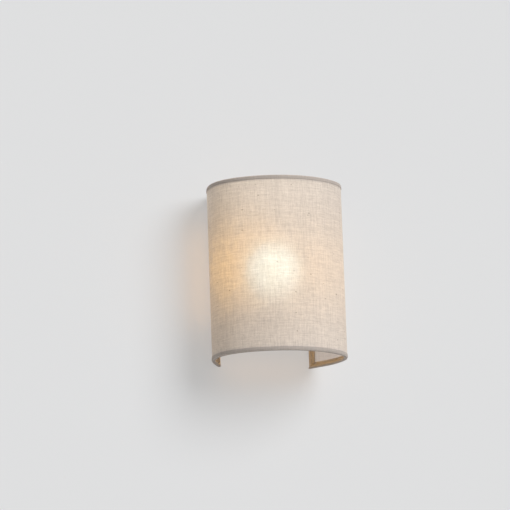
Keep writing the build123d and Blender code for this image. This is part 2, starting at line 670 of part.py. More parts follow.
def earth_lead():
    low = EARTH_Z - 25.0
    points = [(BLOCK_PITCH, BLOCK_AXIS_Y, LEAD_TOP), (BLOCK_PITCH, BLOCK_AXIS_Y, low)]
    points += [(EARTH_X, TAG_AXIS_Y, low), (EARTH_X, TAG_AXIS_Y, TAG_BARREL_TOP - 1.5)]
    return lead(points, [LEAD_BEND, LEAD_BEND], "earth_lead")


def earth_washer():
    ring = Rot(90, 0, 0) * (Cylinder(4.2, 0.6) - Cylinder(SCREW_M4_R, 0.6))
    return Pos(EARTH_X, PLATE_FRONT - 0.3, EARTH_Z) * ring


def earth_tag():
    """Crimped ring tag on the earth lead."""
    y_mid = PLATE_FRONT - 0.6 - TAG_SHEET / 2
    ring = Pos(EARTH_X, y_mid, EARTH_Z) * Rot(90, 0, 0) * Cylinder(4.0, TAG_SHEET)
    neck = slab(PLATE_FRONT - 0.6, PLATE_FRONT - 0.6 - TAG_SHEET, TAG_BARREL_TOP - 1, EARTH_Z, EARTH_X - 1.9, EARTH_X + 1.9)
    barrel = Pos(EARTH_X, TAG_AXIS_Y, TAG_BARREL_TOP - TAG_BARREL / 2) * Cylinder(1.9, TAG_BARREL)
    tag = ring + neck + barrel
    bore_length = TAG_BARREL - 1.5
    tag -= Pos(EARTH_X, TAG_AXIS_Y, TAG_BARREL_TOP - 1.5 - bore_length / 2) * Cylinder(LEAD_R, bore_length)
    return tag - through(EARTH_X, EARTH_Z, SCREW_M4_R)


# ---------------------------------------------------------------- build and write
def build():
    uprights = side_uprights()
    bar = hanger_bar(uprights)
    lower_rim = rim_binding()
    upper_rim = mirror(lower_rim, about=Plane.XY)
    bracket_seat = PLATE_FRONT - SHEET
    return {
        "shade_fabric": shade_sheet(FABRIC_IN, LINER_IN),
        "shade_liner": shade_sheet(LINER_IN, INSIDE),
        "top_ring": frame_ring(WIRE_Z, uprights),
        "bottom_ring": frame_ring(-WIRE_Z, uprights),
        "side_uprights": uprights,
        "top_binding": upper_rim,
        "bottom_binding": lower_rim,
        "left_binding": edge_binding(-1),
        "right_binding": edge_binding(1),
        "hanger_bar": bar,
        "back_plate": back_plate(),
        "hanger_pockets": hanger_pockets(),
        "cable_grommet": cable_grommet(),
        "lampholder_bracket": lampholder_bracket(),
        "bracket_screws": [
            pan_screw(side * BRACKET_SCREW_X, BRACKET_SCREW_Z, bracket_seat, SCREW_M4_R, 3.8, 2.4)
            for side in (-1, 1)
        ],
        "lampholder_cap": lampholder_cap(),
        "lampholder_body": lampholder_body(),
        "contact_carrier": contact_carrier(),
        "lampholder_shell": lampholder_shell(),
        "centre_contact": centre_contact(),
        "holder_terminals": holder_terminals(),
        "holder_terminal_screws": holder_terminal_screws(),
        "holder_nipple": holder_nipple(),
        "nipple_washer": nipple_washer(),
        "nipple_nut": nipple_nut(),
        "bulb_globe": bulb_globe(),
        "led_board": led_board(),
        "bulb_housing": bulb_housing(),
        "bulb_cap": bulb_cap(),
        "bulb_insulator": bulb_insulator(),
        "bulb_tip_contact": bulb_tip_contact(),
        "terminal_block": terminal_block(),
        "terminal_inserts": terminal_inserts(),
        "terminal_screws": terminal_screws(),
        "block_screws": [
            pan_screw(side * BLOCK_PITCH / 2, BLOCK_Z, PLATE_FRONT - 3, SCREW_M3_R, 2.6, 1.8)
            for side in (-1, 1)
        ],
        "live_lead": live_lead(),
        "neutral_lead": neutral_lead(),
        "earth_lead": earth_lead(),
        "earth_washer": earth_washer(),
        "earth_tag": earth_tag(),
        "earth_screw": pan_screw(EARTH_X, EARTH_Z, PLATE_FRONT - 0.6 - TAG_SHEET, SCREW_M4_R, 3.8, 2.4),
    }


os.makedirs("parts", exist_ok=True)
for name, shape in build().items():
    solids = shape if isinstance(shape, list) else [shape]
    children = [solid for item in solids for solid in item.solids()]
    export_step(children[0] if len(children) == 1 else Compound(children), f"parts/{name}.step")
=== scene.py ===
from functools import partial
from math import atan2, cos, hypot, pi, radians, sin, tan

import bpy
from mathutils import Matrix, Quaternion, Vector


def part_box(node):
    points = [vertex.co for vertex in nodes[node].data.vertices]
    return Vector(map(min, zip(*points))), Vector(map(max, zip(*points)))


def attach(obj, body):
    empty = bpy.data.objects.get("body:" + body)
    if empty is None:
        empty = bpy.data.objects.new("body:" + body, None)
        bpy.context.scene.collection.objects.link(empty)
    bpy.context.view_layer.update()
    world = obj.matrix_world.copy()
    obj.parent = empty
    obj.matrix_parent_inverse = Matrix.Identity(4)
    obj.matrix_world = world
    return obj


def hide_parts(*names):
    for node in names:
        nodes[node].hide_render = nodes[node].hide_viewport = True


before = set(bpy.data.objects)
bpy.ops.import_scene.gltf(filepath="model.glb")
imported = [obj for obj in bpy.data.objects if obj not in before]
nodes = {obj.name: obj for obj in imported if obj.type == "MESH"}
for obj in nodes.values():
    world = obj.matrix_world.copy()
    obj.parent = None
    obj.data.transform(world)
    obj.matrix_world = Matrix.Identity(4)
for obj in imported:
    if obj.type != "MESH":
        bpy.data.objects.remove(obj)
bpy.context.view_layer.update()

# ------------------------------------------------------------------ camera
# The light is seen from its left and from below through a long lens, with the picture tilted a little.
# The lamp's upright axis stands at the widest line of the shade; its point at mid height is what is aimed at.
globe_low, globe_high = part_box("bulb_globe")
lamp_axis = (globe_low + globe_high) / 2
aim = Vector((0, lamp_axis.y, 0))
picture_pixels = 510
aim_pixel = (277.33, 272.83)
lens_pixels = 3621.28
sensor_mm = 36
lens_reach = 100
view_azimuth = radians(-19.28)
view_elevation = radians(-10.93)
picture_tilt = radians(2.05)
camera_distance = 4.7647

bpy.ops.object.camera_add()
camera = bpy.context.object
camera.data.sensor_width = sensor_mm
camera.data.lens = lens_pixels / picture_pixels * sensor_mm
camera.data.clip_end = lens_reach
towards_camera = Vector((
    sin(view_azimuth) * cos(view_elevation),
    -cos(view_azimuth) * cos(view_elevation),
    sin(view_elevation),
))
aim_direction = Vector((
    (aim_pixel[0] - picture_pixels / 2) / lens_pixels,
    (picture_pixels / 2 - aim_pixel[1]) / lens_pixels,
    -1,
))
off_centre = Vector((0, 0, -1)).rotation_difference(aim_direction)
roll = Quaternion((0, 0, 1), -picture_tilt)
camera.location = aim + towards_camera * camera_distance
camera.rotation_mode = "QUATERNION"
camera.rotation_quaternion = (-towards_camera).to_track_quat("-Z", "Y") @ roll @ off_centre.inverted()
bpy.context.scene.camera = camera
bpy.context.scene.view_settings.view_transform = "Standard"


# ------------------------------------------------------------------ wall and studio light
# A plain pale wall that the light hangs on, seen only from its painted side, under one broad soft lamp
# from the upper right, a weak one from behind, and even light all round.
def new_material(name):
    """A node material and its Principled shader."""
    made = bpy.data.materials.new(name)
    made.use_nodes = True
    return made, made.node_tree, made.node_tree.nodes["Principled BSDF"]


def add_node(tree, kind, **settings):
    node = tree.nodes.new(kind)
    for key, value in settings.items():
        setattr(node, key, value)
    return node


def surface_of(tree):
    return tree.nodes["Material Output"].inputs["Surface"]


def feed(tree, value, inlet):
    """Links a socket to an input, or sets that input to a plain value."""
    if isinstance(value, bpy.types.NodeSocket):
        tree.links.new(value, inlet)
    else:
        inlet.default_value = value


def do_maths(tree, operation, a, b=None, c=None, clamp=False):
    """A Math node; a, b and c are sockets or plain numbers."""
    node = add_node(tree, "ShaderNodeMath", operation=operation, use_clamp=clamp)
    for value, inlet in zip((a, b, c), node.inputs):
        if value is not None:
            feed(tree, value, inlet)
    return node.outputs[0]


def mix_shaders(tree, factor, a, b):
    """A Mix Shader node; factor is a socket or a number."""
    node = add_node(tree, "ShaderNodeMixShader")
    for value, inlet in zip((factor, a, b), node.inputs):
        feed(tree, value, inlet)
    return node.outputs["Shader"]


def looked_at(tree):
    """1 on rays that show things to the camera, straight or by gloss or glass, and 0 on rays that light."""
    rays = add_node(tree, "ShaderNodeLightPath").outputs
    shown = do_maths(tree, "MAXIMUM", rays["Is Camera Ray"], rays["Is Glossy Ray"])
    return do_maths(tree, "MAXIMUM", shown, rays["Is Transmission Ray"])


def one_sided(tree, front):
    """Keeps a shader on the outward side of a surface and leaves its other side clear."""
    behind = add_node(tree, "ShaderNodeNewGeometry").outputs["Backfacing"]
    clear = add_node(tree, "ShaderNodeBsdfTransparent").outputs["BSDF"]
    return mix_shaders(tree, behind, front, clear)


wall_colour = (0.745, 0.745, 0.745, 1)
wall_size = 40
wall_gap = 0.0004
wall_roughness = 0.9
wall_gloss = 0.1
shadow_relief = 0.49
air_light = 0.35

bpy.ops.object.select_all(action="DESELECT")
bpy.ops.mesh.primitive_plane_add(size=wall_size, location=(0, wall_gap, 0), rotation=(pi / 2, 0, 0))
wall = bpy.context.object
wall.name = "wall"
wall_paint, tree, shader = new_material("wall_paint")
shader.inputs["Base Color"].default_value = wall_colour
shader.inputs["Roughness"].default_value = wall_roughness
shader.inputs["Specular IOR Level"].default_value = wall_gloss
even = add_node(tree, "ShaderNodeEmission")
even.inputs["Color"].default_value = wall_colour
relief_share = do_maths(tree, "MULTIPLY", looked_at(tree), shadow_relief)
lifted = mix_shaders(tree, relief_share, shader.outputs["BSDF"], even.outputs["Emission"])
tree.links.new(one_sided(tree, lifted), surface_of(tree))
wall.data.materials.append(wall_paint)
wall.visible_shadow = False

studio = bpy.data.worlds.new("studio")
bpy.context.scene.world = studio
studio.use_nodes = True
tree = studio.node_tree
air = tree.nodes["Background"]
air.inputs["Color"].default_value = (1, 1, 1, 1)
air.inputs["Strength"].default_value = air_light
seen_air = add_node(tree, "ShaderNodeBackground")
seen_air.inputs["Color"].default_value = wall_colour
both_airs = mix_shaders(tree, looked_at(tree), air.outputs["Background"], seen_air.outputs["Background"])
tree.links.new(both_airs, tree.nodes["World Output"].inputs["Surface"])


def add_lamp(name, kind, power, colour=(1, 1, 1)):
    bpy.ops.object.light_add(type=kind)
    lamp = bpy.context.object
    lamp.name = name
    lamp.data.energy = power
    lamp.data.color = colour
    return lamp


def face_lamp(lamp, direction, distance=1.0, centre=aim):
    """Stands a lamp off a point in one direction and turns it to face that point."""
    direction = Vector(direction).normalized()
    lamp.location = centre + direction * distance
    lamp.rotation_mode = "QUATERNION"
    lamp.rotation_quaternion = direction.to_track_quat("Z", "Y")


key_power = 2.464
key_colour = (0.975, 0.99, 1.01)
key_spread = radians(38)
key_lamp = add_lamp("key_lamp", "SUN", key_power, key_colour)
key_lamp.data.angle = key_spread
face_lamp(key_lamp, (0.5, -1, 0.5))

back_power = 34
back_size = 2
back_distance = 3
back_lamp = add_lamp("back_lamp", "AREA", back_power)
back_lamp.data.size = back_size
face_lamp(back_lamp, (0.3, 1, 0.3), back_distance)

# ------------------------------------------------------------------ linen panel
# Natural linen, bonded to a clear sheet and wrapped once round the plan: two straight legs at the wall,
# a round turn on each side and a flatter front. Its weave lets the lamp show through as a warm glow.
linen_low, linen_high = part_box("shade_fabric")
shade_low, shade_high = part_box("bottom_binding")
shade_bottom = shade_low.z
half_width = shade_high.x
lamp_y = aim.y
front_depth = lamp_y - shade_low.y
leg_turn = radians(30)
front_split = radians(45)
ease = tan(front_split / 2)
side_r = (front_depth - half_width * ease) / (1 - ease)
side_x = half_width - side_r
front_r = side_r + side_x / sin(front_split)
front_y = lamp_y + side_x / tan(front_split)
leg_length = (-lamp_y - half_width * sin(leg_turn)) / cos(leg_turn)
left_leg = Vector((-sin(leg_turn), -cos(leg_turn), 0))
right_leg = Vector((-sin(leg_turn), cos(leg_turn), 0))
leg_inward = Vector((cos(leg_turn), -sin(leg_turn), 0))
past_wall = 0.012
leg_run = leg_length + past_wall
leg_top = Vector((-half_width * cos(leg_turn), lamp_y + half_width * sin(leg_turn), 0))
leg_foot = leg_top - left_leg * leg_run
binding_thick = 0.0006
linen_thick = 0.0006
linen_inset = binding_thick + linen_thick / 2


def leg_point(inset, height):
    """A point in the upright plane where the left leg starts, behind the wall, in from its outer face."""
    return leg_foot + leg_inward * inset + Vector((0, 0, height))


def draw_fold(name, points):
    """A new mesh that holds one open line of edges, drawn from point to point and left selected."""
    seed_size = 0.001
    bpy.ops.object.select_all(action="DESELECT")
    bpy.ops.mesh.primitive_plane_add(size=seed_size, location=points[0])
    piece = bpy.context.object
    piece.name = name
    bpy.ops.object.transform_apply(location=True, rotation=True, scale=True)
    bpy.ops.object.mode_set(mode="EDIT")
    bpy.ops.mesh.select_all(action="SELECT")
    bpy.ops.mesh.merge(type="CENTER")
    for start, end in zip(points, points[1:]):
        bpy.ops.mesh.extrude_region_move(TRANSFORM_OT_translate={"value": end - start})
    bpy.ops.mesh.select_all(action="SELECT")
    return piece


def draw_straight(run, steps):
    """Extrudes the selection along a straight run in equal steps."""
    for _ in range(steps):
        bpy.ops.mesh.extrude_region_move(TRANSFORM_OT_translate={"value": run / steps})


def carry_round():
    """Carries the selected line round the shade's plan, from behind the wall on the left to the right."""
    leg_steps, turn_steps, side_steps, front_steps = 3, 10, 14, 30
    draw_straight(left_leg * leg_run, leg_steps)
    for x, y, angle, steps in (
        (0, lamp_y, leg_turn, turn_steps),
        (-side_x, lamp_y, pi / 2 - front_split, side_steps),
        (0, front_y, 2 * front_split, front_steps),
        (side_x, lamp_y, pi / 2 - front_split, side_steps),
        (0, lamp_y, leg_turn, turn_steps),
    ):
        bpy.ops.mesh.spin(steps=steps, angle=-angle, center=(x, y, 0), axis=(0, 0, 1))
    draw_straight(right_leg * leg_run, leg_steps)
    bpy.ops.mesh.select_all(action="SELECT")


def cut_at_wall(gap):
    """Cuts away all that reaches nearer to the wall than this gap."""
    bpy.ops.mesh.select_all(action="SELECT")
    bpy.ops.mesh.bisect(
        plane_co=(0, -gap, 0), plane_no=(0, 1, 0), clear_outer=True, clear_inner=False, use_fill=False
    )
    bpy.ops.mesh.select_all(action="SELECT")


def on_plan(x, y):
    """How far a point lies round the plan from the middle of the front, and how far in from its face."""
    side = -1 if x < 0 else 1
    x = abs(x)
    angle = atan2(x, front_y - y)
    if angle <= front_split:
        return side * front_r * angle, front_r - hypot(x, y - front_y)
    reach = front_r * front_split
    if y <= lamp_y:
        angle = atan2(x - side_x, lamp_y - y)
        return side * (reach + side_r * (angle - front_split)), side_r - hypot(x - side_x, y - lamp_y)
    reach += side_r * (pi / 2 - front_split)
    angle = atan2(y - lamp_y, x)
    if angle <= leg_turn:
        return side * (reach + half_width * angle), half_width - hypot(x, y - lamp_y)
    reach += half_width * leg_turn
    along = (y - lamp_y) * cos(leg_turn) - x * sin(leg_turn)
    inset = half_width - x * cos(leg_turn) - (y - lamp_y) * sin(leg_turn)
    return side * (reach + along), inset


def lay_threads(piece):
    """A UV map in metres of cloth: across runs round the plan, up runs up the wall and over each fold."""
    above_zero = 1
    mesh = piece.data
    across_up = mesh.uv_layers.new(name="threads") if not mesh.uv_layers else mesh.uv_layers[0]
    across_up.name = "threads"
    for loop in mesh.loops:
        point = mesh.vertices[loop.vertex_index].co
        across, inset = on_plan(point.x, point.y)
        across_up.data[loop.index].uv = (across + above_zero, point.z - inset + above_zero)


def give_thickness(piece, thick):
    """Thickens an open cloth by half to each side of its line."""
    bpy.ops.object.mode_set(mode="OBJECT")
    solid = piece.modifiers.new("thickness", "SOLIDIFY")
    solid.thickness = thick
    solid.offset = 0
    solid.use_even_offset = True
    bpy.ops.object.modifier_apply(modifier=solid.name)


def face_outwards(piece):
    bpy.context.view_layer.objects.active = piece
    bpy.ops.object.mode_set(mode="EDIT")
    bpy.ops.mesh.select_all(action="SELECT")
    bpy.ops.mesh.normals_make_consistent(inside=False)
    bpy.ops.object.mode_set(mode="OBJECT")


def finish_cloth(piece, thick, cloth, rounded):
    """Thickens a drawn cloth, lays its threads, and smooths it where it bends by less than rounded."""
    give_thickness(piece, thick)
    face_outwards(piece)
    lay_threads(piece)
    piece.data.materials.append(cloth)
    bpy.ops.object.shade_smooth_by_angle(angle=rounded)


def group_socket(tree, name, way, kind, value=None):
    socket = tree.interface.new_socket(name=name, in_out=way, socket_type=kind)
    if value is not None:
        socket.default_value = value


def mix_colours(tree, factor, a, b):
    """A colour Mix node; factor, a and b are sockets, numbers or plain colours."""
    node = add_node(tree, "ShaderNodeMix", data_type="RGBA")
    factor_inlet, a_inlet, b_inlet, result = node.inputs[0], node.inputs[6], node.inputs[7], node.outputs[2]
    for value, inlet in ((factor, factor_inlet), (a, a_inlet), (b, b_inlet)):
        feed(tree, value, inlet)
    return result


def noise(tree, vector, scale, detail=2.0, roughness=0.5, dimensions="3D", outlet="Fac"):
    """A Noise Texture; vector is a socket, and scale a socket or a number."""
    node = add_node(tree, "ShaderNodeTexNoise", noise_dimensions=dimensions)
    for key, value in (("Vector", vector), ("Scale", scale), ("Detail", detail), ("Roughness", roughness)):
        feed(tree, value, node.inputs[key])
    return node.outputs[outlet]


def stretch(tree, value, low, high, to_low=0.0, to_high=1.0):
    """Maps a value's range to another, clamped."""
    node = add_node(tree, "ShaderNodeMapRange")
    for given, inlet in zip((value, low, high, to_low, to_high), node.inputs):
        feed(tree, given, inlet)
    return node.outputs["Result"]


def point_at(tree, x, y):
    """A point in the plane from two sockets."""
    node = add_node(tree, "ShaderNodeCombineXYZ")
    feed(tree, x, node.inputs["X"])
    feed(tree, y, node.inputs["Y"])
    return node.outputs["Vector"]


thread_pitch = 0.0009


def make_weave():
    """Node group: plain-woven linen with uneven threads. Place is in metres of cloth."""
    tree = bpy.data.node_groups.new("linen_weave", "ShaderNodeTree")
    maths = partial(do_maths, tree)
    group_socket(tree, "Place", "INPUT", "NodeSocketVector")
    group_socket(tree, "Pitch", "INPUT", "NodeSocketFloat", thread_pitch)
    group_socket(tree, "Pale", "INPUT", "NodeSocketColor", (0.8, 0.7, 0.6, 1))
    group_socket(tree, "Dark", "INPUT", "NodeSocketColor", (0.5, 0.4, 0.3, 1))
    group_socket(tree, "Nub", "INPUT", "NodeSocketColor", (0.2, 0.15, 0.1, 1))
    group_socket(tree, "Colour", "OUTPUT", "NodeSocketColor")
    group_socket(tree, "Height", "OUTPUT", "NodeSocketFloat")
    group_socket(tree, "Open", "OUTPUT", "NodeSocketFloat")
    given = add_node(tree, "NodeGroupInput").outputs
    result = add_node(tree, "NodeGroupOutput").inputs
    apart = add_node(tree, "ShaderNodeSeparateXYZ")
    tree.links.new(given["Place"], apart.inputs[0])
    across_cloth, up_cloth = apart.outputs["X"], apart.outputs["Y"]

    # Each thread wanders a little, has a tone of its own and thickens here and there into slubs.
    wander_scale, wander_reach = 55, 0.0022
    slub_scale, slub_detail, slub_roughness = 62, 3, 0.66
    slub_low, slub_high, slub_tone, own_tone = 0.33, 0.68, 0.75, 0.35
    thread_gap, seed_gap = 7.31, 100
    wander = noise(tree, given["Place"], wander_scale)
    profiles, tones, counts = [], [], []
    for index, (along, across) in enumerate(((up_cloth, across_cloth), (across_cloth, up_cloth))):
        threads = maths("DIVIDE", maths("MULTIPLY_ADD", wander, wander_reach, across), given["Pitch"])
        count = maths("FLOOR", threads)
        run = point_at(tree, maths("MULTIPLY", count, thread_gap + index), along)
        slub = noise(tree, run, slub_scale, slub_detail, slub_roughness, "2D")
        own = add_node(tree, "ShaderNodeTexWhiteNoise", noise_dimensions="1D")
        tree.links.new(maths("ADD", count, 0.5 + seed_gap * index), own.inputs["W"])
        slub = stretch(tree, slub, slub_low, slub_high, 0, slub_tone)
        tones.append(maths("MULTIPLY_ADD", own.outputs["Value"], own_tone, slub))
        profiles.append(maths("SINE", maths("MULTIPLY", maths("FRACT", threads), pi)))
        counts.append(count)

    # The two sets of threads pass over each other by turns, and leave grooves between them; the grooves are
    # painted darker towards the dark thread colour as painted shade.
    crossing_step, slub_sink = 0.7, -0.25
    groove_low, groove_high, painted_shade_depth = 0.72, 0.98, 0.32
    checker = maths("MODULO", maths("ABSOLUTE", maths("ADD", *counts)), 2)
    lead = maths("MULTIPLY_ADD", maths("SUBTRACT", *profiles), 0.5, 0.5)
    upper = maths("MULTIPLY_ADD", maths("SUBTRACT", checker, 0.5), crossing_step, lead, clamp=True)
    tone = maths("MULTIPLY_ADD", maths("SUBTRACT", *tones), upper, tones[1])
    high = maths("MAXIMUM", *profiles)
    height = maths("MULTIPLY_ADD", tone, slub_sink, high)
    # Painted shade: the cloth's colour is darkened between the threads, in the grooves.
    painted_groove_shade = stretch(tree, high, groove_low, groove_high, painted_shade_depth, 0)
    cloth = mix_colours(tree, tone, given["Pale"], given["Dark"])
    cloth = mix_colours(tree, painted_groove_shade, cloth, given["Dark"])

    # A few dark nubs of flax, wider than high and ragged at their edges.
    nub_scale, nub_flatness, nub_rarity, nub_size = 44, 1.6, 0.7, 0.06
    tear_scale, tear_reach = 900, 0.0016
    nub_tint, nub_thickness, nub_height = 0.6, 0.6, 0.5
    torn = add_node(tree, "ShaderNodeVectorMath", operation="MULTIPLY_ADD")
    tree.links.new(noise(tree, given["Place"], tear_scale, outlet="Color"), torn.inputs[0])
    torn.inputs[1].default_value = (tear_reach, tear_reach, 0)
    tree.links.new(point_at(tree, across_cloth, maths("MULTIPLY", up_cloth, nub_flatness)), torn.inputs[2])
    spots = add_node(tree, "ShaderNodeTexVoronoi", voronoi_dimensions="2D")
    spots.inputs["Scale"].default_value = nub_scale
    tree.links.new(torn.outputs["Vector"], spots.inputs["Vector"])
    chance = add_node(tree, "ShaderNodeSeparateColor")
    tree.links.new(spots.outputs["Color"], chance.inputs["Color"])
    size = stretch(tree, chance.outputs["Red"], nub_rarity, 1, 0, nub_size)
    nub = maths("LESS_THAN", spots.outputs["Distance"], size)
    cloth = mix_colours(tree, maths("MULTIPLY", nub, nub_tint), cloth, given["Nub"])
    tree.links.new(cloth, result["Colour"])
    tree.links.new(maths("MULTIPLY_ADD", nub, nub_height, height), result["Height"])

    # Light passes best where the threads are thin.
    open_tone, shut_tone = 0.12, 0.9
    thick = maths("MULTIPLY_ADD", nub, nub_thickness, tone, clamp=True)
    tree.links.new(stretch(tree, thick, open_tone, shut_tone, 1, 0), result["Open"])
    return tree


weave_group = make_weave()


def cloth_material(name, pale, dark, nub, through=None, share=0.0, coat=0.0):
    """Woven cloth; through is the colour of the light that it lets pass, and share how much it lets pass."""
    relief, relief_strength = 0.0003, 0.6
    thick_thread_pass = 0.3
    made, tree, shader = new_material(name)
    place = add_node(tree, "ShaderNodeUVMap", uv_map="threads")
    weave = add_node(tree, "ShaderNodeGroup", node_tree=weave_group)
    tree.links.new(place.outputs["UV"], weave.inputs["Place"])
    for key, colour in (("Pale", pale), ("Dark", dark), ("Nub", nub)):
        weave.inputs[key].default_value = (*colour, 1)
    bump = add_node(tree, "ShaderNodeBump")
    bump.inputs["Distance"].default_value = relief
    bump.inputs["Strength"].default_value = relief_strength
    tree.links.new(weave.outputs["Height"], bump.inputs["Height"])
    tree.links.new(weave.outputs["Colour"], shader.inputs["Base Color"])
    tree.links.new(bump.outputs["Normal"], shader.inputs["Normal"])
    for key, value in (
        ("Roughness", 0.85), ("Specular IOR Level", 0.2), ("Sheen Weight", 0.15),
        ("Sheen Roughness", 0.5), ("Coat Weight", coat), ("Coat Roughness", 0.35),
    ):
        shader.inputs[key].default_value = value
    front = shader.outputs["BSDF"]
    if through:
        dimmed = [level * thick_thread_pass for level in through]
        glow = add_node(tree, "ShaderNodeBsdfTranslucent")
        passing = mix_colours(tree, weave.outputs["Open"], (*dimmed, 1), (*through, 1))
        tree.links.new(passing, glow.inputs["Color"])
        front = mix_shaders(tree, share, front, glow.outputs["BSDF"])
    tree.links.new(one_sided(tree, front), surface_of(tree))
    return made


linen_pale, linen_dark, flax_nub = (0.758, 0.70, 0.658), (0.695, 0.61, 0.54), (0.34, 0.25, 0.18)
linen_cloth = cloth_material(
    "linen_cloth", linen_pale, linen_dark, flax_nub, through=(1.0, 0.89, 0.72), share=0.25
)

height_steps = 24
panel_rounded = radians(40)
panel_height = linen_high.z - linen_low.z
heights = [linen_low.z + panel_height * step / height_steps for step in range(height_steps + 1)]
linen = draw_fold("linen_panel", [leg_point(linen_inset, z) for z in heights])
carry_round()
cut_at_wall(-linen_high.y)
finish_cloth(linen, linen_thick, linen_cloth, panel_rounded)
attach(linen, "shade")
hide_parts("shade_fabric")

# ------------------------------------------------------------------ laminating sheet
# A clear plastic sheet glued behind the linen, which keeps it stiff and shows its weave from inside,
# greyer and with a faint gloss.
liner_thick = 0.0004
liner_inset = linen_inset + (linen_thick + liner_thick) / 2
liner_heights = heights[::4]
liner_pale, liner_dark = (0.76, 0.70, 0.655), (0.60, 0.53, 0.475)
liner_film = cloth_material("laminated_back", liner_pale, liner_dark, flax_nub, coat=0.3)
liner = draw_fold("liner_sheet", [leg_point(liner_inset, z) for z in liner_heights])
carry_round()
cut_at_wall(-linen_high.y)
finish_cloth(liner, liner_thick, liner_film, panel_rounded)
liner.visible_shadow = False
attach(liner, "shade")
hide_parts("shade_liner")

# ------------------------------------------------------------------ rim bindings
# A strip of the same linen folded over each rim: a short leg outside, a round roll over the frame wire
# and a longer leg inside. Its ends are mitred at the wall.
leg_outside = 0.005
leg_inside = 0.008
mitre_lap = 0.0004
ring_low, ring_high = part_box("bottom_ring")
wire_r = (ring_high.z - ring_low.z) / 2
wire_up = ring_low.z + wire_r - shade_bottom
wire_in = binding_thick + linen_thick + liner_thick + wire_r
roll_r = wire_r + binding_thick / 2
leg_in = wire_in - wire_r + binding_thick / 2
bend_steps, roll_steps = 8, 16
binding_rounded = radians(50)
binding_pale, binding_dark, binding_nub = (0.56, 0.503, 0.465), (0.45, 0.395, 0.35), (0.22, 0.17, 0.13)
binding_cloth = cloth_material(
    "binding_cloth", binding_pale, binding_dark, binding_nub, through=(0.95, 0.60, 0.28), share=0.09
)


def rim_fold():
    """(inset, height above the rim's lowest line) of the strip's middle, from its outer to its inner edge."""
    outer = binding_thick / 2
    roll_end = radians(125)
    line = [(outer, leg_outside * share) for share in (1, 0.8, 0.6)]
    for step in range(1, bend_steps + 1):
        angle = pi + step / bend_steps * pi / 2
        line.append((wire_in + (wire_in - outer) * cos(angle), wire_up + roll_r * sin(angle)))
    for step in range(1, roll_steps + 1):
        angle = -pi / 2 + step / roll_steps * (roll_end + pi / 2)
        line.append((wire_in + roll_r * cos(angle), wire_up + roll_r * sin(angle)))
    return line + [(leg_in, height) for height in (0.0042, 0.0052, 0.0066, leg_inside)]


def bind_rim(name, node, way):
    """A rim binding; way is 1 for the lower rim and -1 for the upper one."""
    points = [leg_point(inset, (shade_bottom + height) * way) for inset, height in rim_fold()]
    piece = draw_fold(name, points)
    carry_round()
    cut_at_wall(-shade_high.y)
    mitre_foot = (0, shade_high.y + mitre_lap, way * shade_bottom)
    bpy.ops.mesh.bisect(plane_co=mitre_foot, plane_no=(0, 1, way), clear_outer=True)
    finish_cloth(piece, binding_thick, binding_cloth, binding_rounded)
    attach(piece, "shade")
    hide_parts(node)
    return piece


low_rim = bind_rim("lower_rim_binding", "bottom_binding", 1)
top_rim = bind_rim("upper_rim_binding", "top_binding", -1)

# ------------------------------------------------------------------ wall edge bindings
# The same strip up each wall edge, folded round the frame's upright. Its ends are cut on the slant and
# meet those of the rim bindings in a mitred corner, lapping a little over them inside.
upright_low, upright_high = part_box("side_uprights")
upright = Vector((upright_high.x - wire_r, upright_low.y + wire_r, 0))
lap = binding_thick * 1.1
edge_sunk = 0.00015
edge_steps = 12


def leg_at(inset, y):
    """The point of the right leg at this inset and distance from the wall."""
    return Vector(((half_width - inset - (y - lamp_y) * sin(leg_turn)) / cos(leg_turn), y, 0))


def edge_fold():
    """The strip's middle on the right wall edge, from its outer edge to its inner one."""
    outer = binding_thick / 2 + edge_sunk
    roll_angle = radians(230)
    wall_y = shade_high.y
    line = [leg_at(outer, wall_y - leg_outside * share) for share in (1, 0.8, 0.55)]
    start = line[-1]
    corner = leg_at(outer, wall_y - binding_thick / 2)
    touch = upright + Vector((0, roll_r, 0))
    for step in range(1, bend_steps + 1):
        t = step / bend_steps
        line.append(start * (1 - t) ** 2 + corner * (2 * t * (1 - t)) + touch * t ** 2)
    for step in range(1, roll_steps + 1):
        angle = pi / 2 + step / roll_steps * roll_angle
        line.append(upright + Vector((cos(angle), sin(angle), 0)) * roll_r)
    return line + [leg_at(leg_in + lap, wall_y - reach) for reach in (0.0055, 0.0066, leg_inside)]


def bind_edge(name, node, side):
    """A wall edge binding; side is 1 for the right one and -1 for the left one."""
    tip = -shade_bottom
    points = [Vector((p.x * side, p.y, -tip)) for p in edge_fold()]
    piece = draw_fold(name, points)
    draw_straight(Vector((0, 0, 2 * tip)), edge_steps)
    for way in (-1, 1):
        bpy.ops.mesh.select_all(action="SELECT")
        bpy.ops.mesh.bisect(plane_co=(0, shade_high.y, way * tip), plane_no=(0, -1, way), clear_outer=True)
    finish_cloth(piece, binding_thick, binding_cloth, binding_rounded)
    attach(piece, "shade")
    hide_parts(node)
    return piece


right_edge = bind_edge("right_edge_binding", "right_binding", 1)
left_edge = bind_edge("left_edge_binding", "left_binding", -1)

